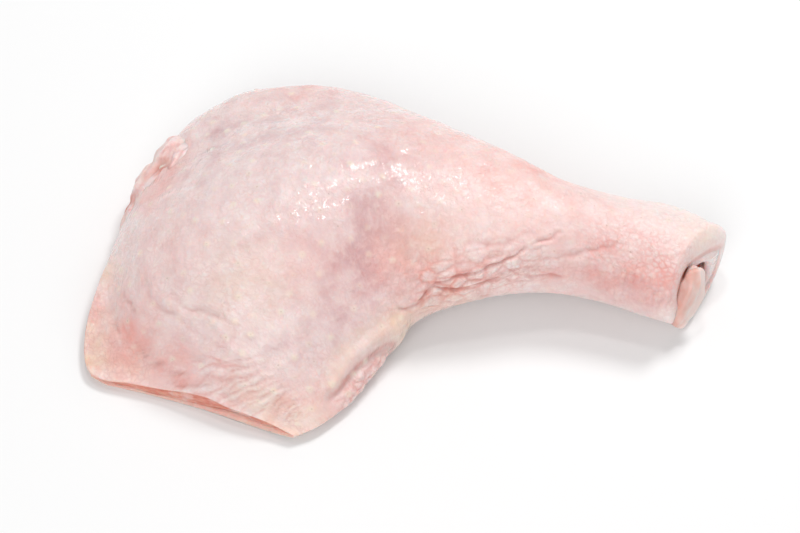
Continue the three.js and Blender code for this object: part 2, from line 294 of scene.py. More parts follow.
def lowered(x, y, inset):
    """How much the dip and the flap lower the skin."""
    away, share, _ = nearest(DIP_LINE, x, y)
    dip = DIP_DEPTH * bell(away, 0, DIP_WIDTH) * np.sin(math.pi * share)
    below, left = below_fold(x, y)
    # inside the skin the step starts earlier and goes deeper, so that the wall stays as thick
    step = ease(below, -FLAP_EDGE - 2 * inset, FLAP_EDGE)
    drop = FLAP_DROP + 0.9 * inset
    return dip + drop * step * left * bell(np.maximum(below, 0), 0, FLAP_REACH + 2 * inset)


def leg_surface(u, angle, inset, stand, closing=0.0):
    """Points of the leg: u runs from hip cut to hock, angle from the back edge over the crown and under.

    The form is drawn in by inset. The end closes towards the hock's mouth as closing goes from 0 to 1.
    """
    u, angle, inset, closing = np.broadcast_arrays(u, angle, inset, closing)
    f = (1 - np.cos(angle)) / 2
    sine = np.sin(angle)
    x, y = plan(u, f, inset, stand(f, sine))
    # the crown: the highest of the apron, the dome and the drumstick, blended where they meet
    hem = np.sqrt(1 - (1 - np.clip(u / HIP_HEM_REACH, 0, 1)) ** 2)
    station = lerp(in_rows(STATIONS, u, 7), in_rows(STATIONS, u, 8), f)
    heights = (np.full_like(x, APRON), dome(x, y), np.maximum(station, 0))
    full = sum(height ** BLEND_POWER for height in heights) ** (1 / BLEND_POWER)
    crown = full * lerp(HIP_HEM_RIM, 1, hem) - lowered(x, y, inset) - inset
    # the section: an arch from edge to edge over the crown, and a flatter bow under them
    edge = np.minimum(lerp(in_rows(STATIONS, u, 5), in_rows(STATIONS, u, 6), f), crown)
    under = in_rows(STATIONS, u, 9) + inset
    low = np.maximum(edge + (under - edge) * np.maximum(-sine, 0) ** UNDERSIDE_BOW, inset)
    z = np.where(sine >= 0, edge + (crown - edge) * sine, low)
    z = z * lerp(in_rows(HEM_SAG, f), 1, ease(u, 0, SAG_REACH))
    # the hock's end, drawn in round the middle of its section
    middle_x, middle_y = plan(u, np.full_like(f, 0.5), 0.0, 0.0)
    middle_z = (station + under) / 2
    far = LIP_FAR * np.exp((np.cos(angle - LIP_FAR_AT) - 1) / LIP_FAR_SPREAD) * ease(closing, 0.25, 1)
    mouth = lerp(LIP_MOUTH, LIP_FOLDED, np.minimum(np.maximum(0, sine) ** 3 + far, 1))
    scale = lerp(1, mouth, np.minimum(closing, 1)) * (1 - LIP_INWARD * np.maximum(closing - 1, 0))
    return np.stack([
        middle_x + (x - middle_x) * scale,
        middle_y + (y - middle_y) * scale,
        middle_z + (z - middle_z) * scale,
    ], axis=-1)


def slanted(u, angle, sunk=0.0):
    """Shares along the leg with the slant of the hock's mouth, and sunk into it on its far side."""
    near = np.maximum(0, np.sin(np.clip((angle - SLANT_START) / SLANT_SPAN, 0, 1) * math.pi)) ** 1.3
    return u - (HOCK_SLANT * near + sunk * (1 - near)) * ease(u, SLANT_FROM, 1)


def hem_stand(f, sine):
    return in_rows(HEM_BACK, f) * np.sqrt(np.maximum(sine, 0))


def flesh_stand(f, sine):
    return in_rows(FLESH_BACK, f)


def to_frame():
    """The move in mm from the form's own origin to the frame's, under the middle of the leg's box."""
    rows, outer = skin_rings()
    rows = rows[:outer]
    angle = np.radians(np.arange(0, 360, 1.0))[None, :]
    points = leg_surface(slanted(rows[:, :1], angle), angle, rows[:, 1:2], hem_stand, rows[:, 2:3])
    low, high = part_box("skin")
    own = (points.min(axis=(0, 1)) + points.max(axis=(0, 1))) / 2
    middle = (np.array(low) + np.array(high)) / (2 * MM)
    return np.array([middle[0] - own[0], middle[1] - own[1], 0.0])


# ---------------------------------------------------------------------------------------------------------
# Meshes
# ---------------------------------------------------------------------------------------------------------

def grid_faces(rings, sides):
    """Quads of a tube through rings, in the order that faces them outwards."""
    i = np.arange(rings - 1)[:, None]
    j = np.arange(sides)[None, :]
    following = (j + 1) % sides
    corners = [i * sides + j, i * sides + following, (i + 1) * sides + following, (i + 1) * sides + j]
    return np.stack([np.broadcast_to(c, (rings - 1, sides)) for c in corners], axis=-1).reshape(-1, 4)


def make_object(name, points, faces, material):
    """An object with its origin at the frame's, from points in mm in the form's own place."""
    mesh = bpy.data.meshes.new(name)
    moved = (points + SHIFT) * MM
    mesh.from_pydata([tuple(p) for p in moved], [], [tuple(f) for f in faces])
    mesh.validate()
    for polygon in mesh.polygons:
        polygon.use_smooth = True
    mesh.materials.append(material)
    obj = bpy.data.objects.new(name, mesh)
    bpy.context.scene.collection.objects.link(obj)
    return obj


def weld(obj, distance):
    """Joins vertices that lie together and turns all faces outwards."""
    made = bmesh.new()
    made.from_mesh(obj.data)
    bmesh.ops.remove_doubles(made, verts=made.verts, dist=distance)
    bmesh.ops.recalc_face_normals(made, faces=made.faces)
    made.to_mesh(obj.data)
    made.free()


def settle(obj):
    """Applies an object's modifiers."""
    graph = bpy.context.evaluated_depsgraph_get()
    mesh = bpy.data.meshes.new_from_object(obj.evaluated_get(graph), depsgraph=graph)
    old = obj.data
    obj.modifiers.clear()
    obj.data = mesh
    mesh.name = obj.name
    bpy.data.meshes.remove(old)


def put(obj, node):
    """Puts a piece on the leg's body, and hides the solid that it stands for, if any."""
    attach(obj, "root")
    if node:
        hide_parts(node)


def grid_normals(points):
    """Outward normals of a grid of points, rings by sides, that closes round each ring."""
    along = np.gradient(points, axis=0)
    around = np.roll(points, -1, axis=1) - np.roll(points, 1, axis=1)
    normal = np.cross(around, along)
    return normal / np.maximum(np.linalg.norm(normal, axis=-1, keepdims=True), 1e-9)


def wander(points, size, seed=0.0):
    """Smooth noise from about -1 to 1 at points in mm, with features of that size."""
    flat = points.reshape(-1, 3) / size + seed
    return np.array([noise.noise(Vector(p)) for p in flat]).reshape(points.shape[:-1])


def crinkle(points, size, seed=0.0):
    """Thin branching lines of that spacing, from 0 beside them to 1 on them."""
    bend = np.stack([wander(points, 1.7 * size, seed + n) for n in (3, 5, 7)], -1)
    return np.clip(1 - 3.2 * np.abs(wander(points + 0.9 * size * bend, size, seed)), 0, 1)


def pillows(points, size, seed=0.0):
    """Plump cells of that size: 0 at the sharp creases between them, 1 over their middles."""
    flat = points.reshape(-1, 3) / size + seed
    found = np.empty(len(flat))
    for n, p in enumerate(flat):
        distances = noise.voronoi(Vector(p))[0]
        found[n] = distances[1] - distances[0]
    return np.sqrt(np.clip(1.7 * found, 0, 1)).reshape(points.shape[:-1])


def along_lie(points, lie, squeeze):
    """Points squeezed along one direction, which stretches a pattern on them that way."""
    lie = np.array(lie) / np.linalg.norm(lie)
    return points - (1 - squeeze) * (points @ lie)[..., None] * lie


def fanned(points):
    """Places for rolls that spread from a pivot in plan like a fan's ribs, at true width 30 mm from it."""
    away_x = FAN_PIVOT[0] - points[..., 0]
    away_y = FAN_PIVOT[1] - points[..., 1]
    turn = np.arctan2(away_y, away_x) + 0.06 * wander(points, 6.0, 4.0)
    return np.stack([0.07 * np.hypot(away_x, away_y), 30 * turn, np.zeros(turn.shape)], axis=-1)


def search_tree(places):
    """A tree that finds the nearest of many places."""
    tree = kdtree.KDTree(len(places))
    for n, place in enumerate(places):
        tree.insert(Vector(place), n)
    tree.balance()
    return tree


def close_ends(points):
    """Draws the first and the last ring of a tube together, each to one point."""
    for end in (0, -1):
        points[end] = points[end].mean(axis=0)


def attribute(obj, name, values, kind):
    """Stores one value for each vertex: FLOAT, FLOAT_VECTOR or FLOAT_COLOR."""
    made = obj.data.attributes.new(name, kind, "POINT")
    field = {"FLOAT": "value", "FLOAT_VECTOR": "vector", "FLOAT_COLOR": "color"}[kind]
    made.data.foreach_set(field, np.asarray(values, np.float32).ravel())


# ---------------------------------------------------------------------------------------------------------
# Materials
# ---------------------------------------------------------------------------------------------------------

def linear(colour):
    """An sRGB hex colour as linear red, green, blue and alpha."""
    parts = [int(colour[n:n + 2], 16) / 255 for n in (1, 3, 5)]
    return tuple(p / 12.92 if p <= 0.04045 else ((p + 0.055) / 1.055) ** 2.4 for p in parts) + (1.0,)


def add(tree, kind, feeds=None, **settings):
    """Adds a node, sets its properties, and sets or links its inputs.

    A node that is given for an input feeds it by its first live output.
    """
    node = tree.nodes.new("ShaderNode" + kind)
    for name, value in settings.items():
        setattr(node, name, value)
    for key, value in (feeds or {}).items():
        live = [socket for socket in node.inputs if socket.enabled and socket.name == key]
        target = live[0] if live else node.inputs[key]
        if isinstance(value, bpy.types.Node):
            value = next(socket for socket in value.outputs if socket.enabled)
        if isinstance(value, bpy.types.NodeSocket):
            tree.links.new(value, target)
        else:
            target.default_value = value
    return node


def new_material(name):
    """An empty material, its node tree, and object coordinates in mm."""
    material = bpy.data.materials.new(name)
    material.use_nodes = True
    tree = material.node_tree
    tree.nodes.clear()
    place = add(tree, "TexCoord").outputs["Object"]
    return material, tree, add(tree, "VectorMath", {0: place, "Scale": 1 / MM}, operation="SCALE")


def layered(tree, colour, layers):
    """Lays colours over each other, each through a mask."""
    for mask, over in layers:
        colour = add(tree, "Mix", {"Factor": mask, "A": colour, "B": over}, data_type="RGBA")
    return colour


def wet_tissue(tree, colour, height, feeds):
    """Finishes a material of raw tissue, which light soaks into, from its colour and its relief in mm."""
    bump = add(tree, "Bump", {"Height": height, "Distance": MM, "Strength": 1.0})
    shader = add(tree, "BsdfPrincipled", {
        "Base Color": colour, "Normal": bump, "IOR": 1.4, "Subsurface Weight": 1.0, **feeds,
    }, subsurface_method="RANDOM_WALK")
    add(tree, "OutputMaterial", {"Surface": shader})


def raw_chicken_skin(settings):
    """Raw chicken skin, scalded and plucked: thin collagen over fat, with a film of water.

    To the eye it is pale and slightly see-through, so red meat and yellow fat tint it from below. A fine
    net of grooves and the raised feather follicles catch small wet lights. Its colour holds painted light
    too: painted shade in the grooves and on the low sides of the wisps, a painted highlight on the wisps'
    crests, and a painted sheen on pale mottles.
    """
    material, tree, mm = new_material("raw_chicken_skin")
    tone = add(tree, "Attribute", attribute_name="tone")
    tones = add(tree, "SeparateColor", {"Color": tone.outputs["Color"]}).outputs
    follicle = add(tree, "Attribute", attribute_name="follicle").outputs["Vector"]
    follicle = add(tree, "SeparateXYZ", {"Vector": follicle}).outputs

    # patterns: clouds of 9 mm, mottles of 3 mm, speckles of 1.2 mm, wisps round the leg 1.5 mm wide, and the
    # skin's net, which comes and goes with the clouds. Real cells are under 1 mm wide, and these are drawn
    # 2 mm wide to show.
    cloud = add(tree, "TexNoise", {"Vector": mm, "Scale": 1 / 9, "Detail": 4.0, "Roughness": 0.6})
    mottle = add(tree, "TexNoise", {"Vector": mm, "Scale": 1 / 3, "Detail": 3.0, "Roughness": 0.6})
    speckle = add(tree, "TexNoise", {"Vector": mm, "Scale": 1 / 1.2, "Detail": 2.0, "Roughness": 0.6})
    lie = add(tree, "Attribute", attribute_name="lie").outputs["Vector"]
    drawn = add(tree, "Mapping", {"Vector": lie, "Scale": (1 / 1.5, 1 / 3.6, 0.0)})
    streak = add(tree, "TexNoise", {"Vector": drawn, "Scale": 1.0, "Detail": 4.0, "Distortion": 1.6})
    bend = add(tree, "TexNoise", {"Vector": mm, "Scale": 1 / 3, "Detail": 2.0}).outputs["Color"]
    bent = add(tree, "VectorMath", {0: bend, 1: (4.0, 4.0, 4.0), 2: mm}, operation="MULTIPLY_ADD")
    border = add(tree, "TexVoronoi", {"Vector": bent, "Scale": 1 / 2.0}, feature="DISTANCE_TO_EDGE")
    cell = add(tree, "MapRange", {"Value": border, "From Max": 0.25}, interpolation_type="SMOOTHSTEP")
    net = add(tree, "Attribute", attribute_name="net").outputs["Fac"]
    there = add(tree, "MapRange", {"Value": cloud, "From Min": 0.62, "From Max": 0.4, "To Max": 1.0})
    there = add(tree, "Math", {0: there, 1: net}, operation="MAXIMUM")
    grip = add(tree, "MapRange", {"Value": net, "To Min": 1.0, "To Max": 2.2})
    there = add(tree, "Math", {0: there, 1: grip}, operation="MULTIPLY")

    # meat shows mauve and blood pink through the skin in clouds, and fat cream; the mauve and blush that are
    # painted shade come and go in the same clouds
    cloudy = add(tree, "MapRange", {
        "Value": cloud, "From Min": 0.3, "From Max": 0.68, "To Min": 0.35, "To Max": 1.25,
    })
    grainy = add(tree, "MapRange", {
        "Value": mottle, "From Min": 0.3, "From Max": 0.7, "To Min": 0.5, "To Max": 1.25,
    })
    mauve = add(tree, "Math", {0: tones["Red"], 1: cloudy}, operation="MULTIPLY", use_clamp=True)
    blush = add(tree, "Math", {0: tones["Green"], 1: grainy}, operation="MULTIPLY", use_clamp=True)
    fat = add(tree, "Math", {0: tones["Blue"], 1: cloudy}, operation="MULTIPLY", use_clamp=True)
    # the net's grooves are darker pink, partly blood and partly painted shade, and the wisps' low sides get
    # the same painted shade; the wisps' crests are white, partly dry and partly a painted highlight, and pale
    # mottles get a painted sheen
    groove = add(tree, "MapRange", {"Value": cell, "To Min": 0.16, "To Max": 0.0})
    groove = add(tree, "Math", {0: groove, 1: there}, operation="MULTIPLY")
    rosy = add(tree, "MapRange", {"Value": streak, "From Min": 0.48, "From Max": 0.3, "To Max": 0.1})
    dry_crest_and_sheen = add(tree, "MapRange", {"Value": streak, "From Min": 0.52, "From Max": 0.74, "To Max": 0.16})
    painted_sheen = add(tree, "MapRange", {"Value": mottle, "From Min": 0.48, "From Max": 0.72, "To Max": 0.35})
    crease = add(tree, "Math", {0: tone.outputs["Alpha"], 1: 0.8}, operation="MULTIPLY", use_clamp=True)
    ring = add(tree, "MapRange", {
        "Value": follicle["X"], "From Min": 1.7, "From Max": 0.3, "To Max": 0.7,
    }, interpolation_type="SMOOTHSTEP")
    ring = add(tree, "Math", {0: ring, 1: follicle["Y"]}, operation="MULTIPLY", use_clamp=True)
    pore = add(tree, "MapRange", {"Value": follicle["X"], "From Min": 0.4, "From Max": 0.2, "To Max": 0.6})
    pore = add(tree, "Math", {0: pore, 1: follicle["Z"]}, operation="MULTIPLY", use_clamp=True)
    # the groove colour paints shade as well as blood, and the crest colour paints a highlight and a sheen
    colour = layered(tree, tuple(settings.pale), (
        (mauve, settings.mauve), (blush, settings.blush), (fat, settings.fat), (groove, settings.groove),
        (rosy, settings.groove), (painted_sheen, settings.dry_crest_and_sheen), (dry_crest_and_sheen, settings.dry_crest_and_sheen), (crease, settings.crease),
        (ring, settings.follicle), (pore, settings.pore),
    ))

    # height in mm of what is too fine for the mesh
    height = add(tree, "Math", {0: cell, 1: there}, operation="MULTIPLY")
    height = add(tree, "Math", {0: height, 1: 0.04, 2: 0.0}, operation="MULTIPLY_ADD")
    for pattern, amount in ((speckle, 0.06), (streak, 0.05), (mottle, 0.4), (cloud, 0.9), (pore, -0.15)):
        height = add(tree, "Math", {0: pattern, 1: amount, 2: height}, operation="MULTIPLY_ADD")
    # the film of water lies in patches of 12 mm, on soft wrinkles 1.3 mm wide that break up its glints
    pools = add(tree, "TexNoise", {"Vector": mm, "Scale": 1 / 12, "Detail": 2.0})
    wet = add(tree, "MapRange", {
        "Value": pools, "From Min": 0.36, "From Max": 0.52, "To Min": 0.15, "To Max": 1.0,
    })
    # the drumstick has drained
    along = add(tree, "SeparateXYZ", {"Vector": lie}).outputs["X"]
    drained = add(tree, "MapRange", {
        "Value": along, "From Min": 95.0, "From Max": 125.0, "To Min": 1.0, "To Max": 0.3,
    })
    wet = add(tree, "Math", {0: wet, 1: drained}, operation="MULTIPLY")
    ripple = add(tree, "Mapping", {"Vector": lie, "Scale": (1 / 1.3, 1 / 2.6, 0.0)})
    ripple = add(tree, "TexNoise", {"Vector": ripple, "Scale": 1.0, "Detail": 0.5, "Distortion": 1.0})
    swell = add(tree, "TexNoise", {"Vector": mm, "Scale": 1 / 6, "Detail": 1.0})
    film = add(tree, "Math", {0: swell, 1: 1.5}, operation="MULTIPLY")
    film = add(tree, "Math", {0: ripple, 1: 0.3, 2: film}, operation="MULTIPLY_ADD")
    film = add(tree, "Bump", {"Height": film, "Distance": MM, "Strength": 1.0})
    wet_tissue(tree, colour, height, {
        "Roughness": 0.46, "Subsurface Radius": (1.0, 0.55, 0.45), "Subsurface Scale": 0.7 * MM,
        "Coat Weight": wet, "Coat Roughness": 0.07, "Coat IOR": 1.36, "Coat Normal": film,
    })
    return material


def raw_dark_meat(settings):
    """Raw dark meat, cut with a knife: wet muscle fibres bound by thin white tissue, with seams of fat."""
    material, tree, mm = new_material("raw_dark_meat")
    drawn = add(tree, "Mapping", {"Vector": mm, "Scale": (0.4, 1.0, 1.6)})
    fibres = add(tree, "TexNoise", {"Vector": drawn, "Scale": 1 / 1.6, "Detail": 3.0, "Roughness": 0.6})
    cloud = add(tree, "TexNoise", {"Vector": mm, "Scale": 1 / 5, "Detail": 3.0})
    paler = add(tree, "MapRange", {"Value": fibres, "From Min": 0.35, "From Max": 0.7})
    marbling = add(tree, "MapRange", {"Value": cloud, "From Min": 0.52, "From Max": 0.7, "To Max": 0.6})
    colour = layered(tree, tuple(settings.meat), ((paler, settings.fibre), (marbling, settings.fascia)))
    height = add(tree, "Math", {0: fibres, 1: 0.4}, operation="MULTIPLY")
    wet_tissue(tree, colour, height, {
        "Roughness": 0.3, "Subsurface Radius": (1.0, 0.35, 0.25), "Subsurface Scale": 0.8 * MM,
        "Coat Weight": 0.4, "Coat Roughness": 0.12, "Coat IOR": 1.33,
    })
    return material


def fatty_membrane(settings):
    """Torn membrane over fat and a little meat: thin, wet and rosy, with white fat and darker blood in it."""
    material, tree, mm = new_material("fatty_membrane")
    speckle = add(tree, "TexNoise", {"Vector": mm, "Scale": 1 / 1.8, "Detail": 3.0, "Roughness": 0.6})
    vein = add(tree, "MapRange", {"Value": speckle, "From Min": 0.45, "From Max": 0.7, "To Max": 0.5})
    fat = add(tree, "Attribute", attribute_name="fat").outputs["Fac"]
    blood = add(tree, "Attribute", attribute_name="blood").outputs["Fac"]
    colour = layered(tree, tuple(settings.membrane), (
        (vein, settings.vein), (fat, settings.fascia), (blood, settings.meat),
    ))
    height = add(tree, "Math", {0: speckle, 1: 0.4}, operation="MULTIPLY")
    wet_tissue(tree, colour, height, {
        "Roughness": 0.32, "Subsurface Radius": (1.0, 0.5, 0.4), "Subsurface Scale": 0.9 * MM,
        "Coat Weight": 0.5, "Coat Roughness": 0.15, "Coat IOR": 1.33,
    })
    return material


def wet_tendon(settings):
    """Tendon and gristle: dense white cord fibres under a slippery sheath, whitish with a pink blush."""
    material, tree, mm = new_material("wet_tendon")
    cloud = add(tree, "TexNoise", {"Vector": mm, "Scale": 1 / 3.5, "Detail": 3.0})
    patchy = add(tree, "MapRange", {"Value": cloud, "From Min": 0.3, "From Max": 0.6, "To Min": 0.4})
    rosy = add(tree, "Attribute", attribute_name="rosy").outputs["Fac"]
    rosy = add(tree, "Math", {0: rosy, 1: patchy}, operation="MULTIPLY", use_clamp=True)
    colour = layered(tree, tuple(settings.gristle), ((rosy, settings.sheath),))
    height = add(tree, "Math", {0: cloud, 1: 0.6}, operation="MULTIPLY")
    wet_tissue(tree, colour, height, {
        "Roughness": 0.28, "Subsurface Radius": (1.0, 0.6, 0.5), "Subsurface Scale": 0.8 * MM,
        "Coat Weight": 0.5, "Coat Roughness": 0.1, "Coat IOR": 1.33,
    })
    return material


def matte_paper(settings):
    """Seamless background paper, uncoated: even, matt white."""
    material, tree, _ = new_material("matte_paper")
    shader = add(tree, "BsdfDiffuse", {"Color": settings.paper})
    add(tree, "OutputMaterial", {"Surface": shader})
    return material


# ---------------------------------------------------------------------------------------------------------
# Settings
# ---------------------------------------------------------------------------------------------------------

def tint(name, description, colour):
    """A colour that a user may change, from an sRGB hex colour."""
    return FloatVectorProperty(name=name, description=description, subtype="COLOR", size=4, min=0.0, max=1.0,
                               default=linear(colour))


class ChickenSkinSettings(PropertyGroup):
    pale: tint("Pale skin", "Skin over pale fat", "#f5e6e3")
    # mauve and blush also carry painted shade where some patches and the thigh's general mauve put them
    mauve: tint("Mauve", "Where dark meat shows through", "#d2b0b2")
    blush: tint("Blush", "Where blood shows through", "#efa99f")
    fat: tint("Fat", "Where yellow fat shows through", "#efd9c0")
    # grooves: partly blood, partly painted shade in the net and on the wisps' low sides
    groove: tint("Grooves", "The fine net of grooves", "#cf9b95")
    # crests: the dry tops of fine ridges with a painted highlight, and the painted sheen on pale mottles
    dry_crest_and_sheen: tint("Crests", "The dry tops of fine ridges", "#f4e9e6")
    crease: tint("Creases", "The bottom of a crease", "#cf7a6e")
    follicle: tint("Follicles", "The fatty ring of a feather follicle", "#f0e3d2")
    pore: tint("Pores", "The hole of a feather follicle", "#b08c82")
    crease_depth: FloatProperty(name="Crease depth", description="Times the usual depth", default=1.0,
                                min=0.0, max=2.0)
    goose_bumps: FloatProperty(name="Goose bumps", description="Times the usual height", default=1.0,
                               min=0.0, max=2.0)
    follicle_spacing: FloatProperty(name="Follicle spacing", description="Least distance between follicles",
                                    default=5.2 * MM, unit="LENGTH")


class ChickenFleshSettings(PropertyGroup):
    meat: tint("Meat", "Cut dark meat", "#d27f6e")
    fibre: tint("Fibre", "Paler muscle fibres", "#e2a592")
    fascia: tint("Fascia", "Fat and connective tissue", "#f0ddd6")
    membrane: tint("Membrane", "Torn membrane at the back corner", "#f3dcda")
    vein: tint("Veins", "Blood in the membrane", "#d69a97")


class ChickenTendonSettings(PropertyGroup):
    gristle: tint("Gristle", "The tendon's white cords", "#e8d4ce")
    sheath: tint("Sheath", "Its rosy sheath", "#e2b0a3")


class ChickenStageSettings(PropertyGroup):
    paper: tint("Paper", "The seamless paper", "#f2f2f2")
    sky: FloatProperty(name="Fill", description="Strength of the even light from all round", default=0.48)
    key: FloatProperty(name="Key", description="Power of the soft light above and behind", default=6.7,
                       unit="POWER")
    key_size: FloatProperty(name="Key size", description="Width of the soft light", default=0.34,
                            unit="LENGTH")
    lamp: FloatProperty(name="Lamp", description="Power of the small light overhead, for wet glints",
                        default=1.3, unit="POWER")
    fill: FloatProperty(name="Front fill", description="Power of the wide light in front", default=6.6,
                        unit="POWER")


# ---------------------------------------------------------------------------------------------------------
# Skin
# ---------------------------------------------------------------------------------------------------------

# Sides of the sleeve over the top and along the underside, and rings along the hem, the body and the lip.
SKIN_TOP = 206
SKIN_UNDER = 38
HEM_RINGS = 8
BODY_RINGS = 300
LIP_RINGS = 12
FRONT_FIRST = 0.4  # 0 spaces the sides evenly over the top, and more packs them towards the front edge
HIP_FIRST = 0.4  # 0 spaces the rings of the body evenly, and more packs them towards the hip cut

SHANK_LIE = (0.965, -0.26, -0.05)  # across the fine ridges at the ankle
KNEE_LIE = (0.93, 0.05, 0.36)  # along the cobbles behind the knee
FAN_PIVOT = (-16.0, -46.0)  # where the rolls by the hip cut spread from, in plan
CREASE_STEPS = 14  # points along a crease for each one given
CREASE_REACH = 6  # mm from its middle
DEEPEST = 0.7  # the share of the skin's thickness that a crease may cut

# Sizes in mm of the skin's relief: the spacing of its fine and of its coarse lines, the width of the rolls by
# the hip cut, of the cobbles behind the knee and of the pearls at the ankle, and the spacing of the ankle's
# ridges.
FINE_LINES = 2.6
COARSE_LINES = 4.6
ROLL = 1.8
COBBLE = 3.1
PEARL = 1.9
RIDGE = 2.4

GOOSE_BUMP = 0.34  # mm that a large follicle stands out
GOOSE_BUMP_REACH = 1.1  # mm
NO_FOLLICLE = 9.0  # mm, further than any follicle reaches
FOLLICLE_THROWS = 9000  # tries at placing one
FOLLICLE_SEED = 7

# The skin folded in at the hock: its first and last angle round the mouth in degrees, and half its width in
# mm by the share of the way.
FOLD_SPAN = (205, -80)
FOLD_HALF_WIDTH = np.array([
    [0, 0.3], [0.1, 0.9], [0.27, 1.4], [0.4, 2.4], [0.52, 3.4], [0.7, 3.4], [0.88, 2.4], [1, 0.3],
])
FOLD_AT = 0.99  # where along the leg it lies
FOLD_CLOSING = 1.2  # how far the lip has rolled in there


def skin_rings():
    """Rows of share along the leg, inset and closing, from the hip's rim over the outside and back inside."""
    quarter = np.linspace(0, math.pi / 2, HEM_RINGS + 1)
    rows = [(HIP_HEM_REACH * (1 - math.cos(t)), 0, 0) for t in quarter]
    even = np.linspace(0, 1, BODY_RINGS + 2)[1:-1]
    rows += [(lerp(HIP_HEM_REACH, LIP_FROM, t), 0, 0) for t in lerp(even, even ** 2, HIP_FIRST)]
    quarter = np.linspace(0, math.pi / 2, LIP_RINGS + 1)
    rows += [(LIP_FROM + (1 - LIP_FROM) * math.sin(t), 0, 1 - math.cos(t)) for t in quarter]
    outer = len(rows)
    rows += [(0.9985, 0.1, 1.25), (0.994, 0.3, 1.45), (0.987, 0.6, 1.5), (0.978, 1.0, 1.35)]
    rows += [(0.967, WALL, 1.0), (0.957, WALL, 0.5), (0.945, WALL, 0)]
    rows += [(u, WALL, 0) for u in (0.92, 0.88, 0.83, 0.78, 0.73, 0.68, 0.63, 0.58, 0.53, 0.48, 0.44, 0.4)]
    rows += [(u, WALL, 0) for u in (0.36, 0.32, 0.28, 0.24, 0.2, 0.16, 0.12, 0.09, 0.06, 0.04, 0.025, 0.015)]
    rows += [(0.006, WALL, 0), (0.0, WALL, 0), (-0.001, 1.15, 0), (-0.001, 0.5, 0)]
    return np.array(rows), outer


def lie_of(points):
    """Distance in mm along and around a tube of rings at each of its points, for patterns that follow it."""
    along = np.linalg.norm(np.diff(points, axis=0), axis=-1).mean(axis=1)
    along = np.concatenate([[0], np.cumsum(along)])
    around = np.linalg.norm(np.diff(points, axis=1), axis=-1).mean(axis=0)
    around = np.concatenate([[0], np.cumsum(around)])
    lie = np.zeros(points.shape)
    lie[..., 0] = along[:, None]
    lie[..., 1] = around[None, :]
    return lie


def crease_field(points):
    """How deep the named creases cut at each point, in mm, and how red they are there.

    The places that are looked up wander a little, so that the creases do.
    """
    lines = []
    for marks, depth, width in CREASES.values():
        marks = np.array(marks, float)
        t = np.linspace(0, len(marks) - 1, CREASE_STEPS * len(marks))
        run, turn = (smooth(np.arange(len(marks)), marks[:, n], t) for n in (0, 1))
        taper = np.sin(math.pi * np.clip(t / t[-1], 0.06, 0.94)) ** 0.5
        line = leg_surface(run, np.radians(turn), 0.0, hem_stand)
        lines += [(place, depth * share, width) for place, share in zip(line, taper)]
    tree = search_tree([place for place, _, _ in lines])
    flat = points.reshape(-1, 3)
    flat = flat + 0.9 * np.stack([wander(flat, 4.0, seed) for seed in (3, 9, 17)], -1)
    cut, red = np.zeros(len(flat)), np.zeros(len(flat))
    for n, place in enumerate(flat):
        _, at, away = tree.find(Vector(place))
        if away < CREASE_REACH:
            _, depth, width = lines[at]
            # a groove with a low swelling on each side
            swell = math.exp(-((away - 2.6 * width) / (1.3 * width)) ** 2)
            cut[n] = depth * (math.exp(-(away / width) ** 2) - 0.4 * swell)
            red[n] = 0.95 * min(depth, 0.8) * math.exp(-(away / (0.8 * width)) ** 2)
    return cut.reshape(points.shape[:-1]), red.reshape(points.shape[:-1])


def no_follicles(shape):
    """A follicle field with none near."""
    field = np.zeros(shape + (3,))
    field[..., 0] = NO_FOLLICLE
    return field


def follicle_field(points, allowed, spacing):
    """Distance in mm from each point to the nearest feather follicle, and that follicle's size and pore.

    The follicles are thrown at random from a fixed seed, and one that lands too near another is dropped.
    """
    picker = np.random.default_rng(FOLLICLE_SEED)
    places = points[allowed]
    chosen = np.empty((0, 3))
    for n in picker.integers(0, len(places), FOLLICLE_THROWS):
        if not len(chosen) or ((chosen - places[n]) ** 2).sum(axis=1).min() > spacing ** 2:
            chosen = np.vstack([chosen, places[n]])
    tree = search_tree(chosen)
    size = picker.uniform(0.1, 1.0, len(chosen)) ** 1.5
    pore = 0.6 * picker.uniform(0, 1, len(chosen)) ** 3
    field = no_follicles(points.shape[:-1])
    for i, j in np.argwhere(allowed):
        _, at, away = tree.find(Vector(points[i, j]))
        field[i, j] = away, size[at], pore[at]
    return field


class SkinZones:
    """Where on the skin each texture lies, as shares from 0 to 1 at each point."""

    def __init__(self, points, u, angle):
        degrees = np.degrees(angle)
        x, y = points[..., 0], points[..., 1]
        self.up = ease(np.sin(angle), -0.35, 0.05)
        self.shank = ease(u, 0.36, 0.52)
        self.apron = (1 - ease(dome(x, y), 2, 15)) * (1 - ease(u, 0.1, 0.24)) * self.up
        by_front = ease(degrees, 112, 124) * (1 - ease(degrees, 150, 164))
        self.fan = by_front * (1 - ease(u, 0.04, 0.085)) * self.up
        self.side = (1 - ease(degrees, 92, 108)) * self.apron
        self.past_fold, self.fold = below_fold(x, y)
        self.fold = self.fold * (1 - ease(u, 0.34, 0.42))
        self.flap = ease(self.past_fold, 0.5, 3) * self.fold
        self.knee = ease(u, 0.36, 0.46) * (1 - ease(u, 0.62, 0.76)) * bell(degrees, 163, 27)
        self.ankle = ease(u, 0.7, 0.8) * (1 - ease(u, 0.955, 0.985))
        self.ankle_side = self.ankle * ease(u, 0.76, 0.84) * bell(degrees, 160, 30)
        self.ankle_top = self.ankle * bell(degrees, 112, 42)


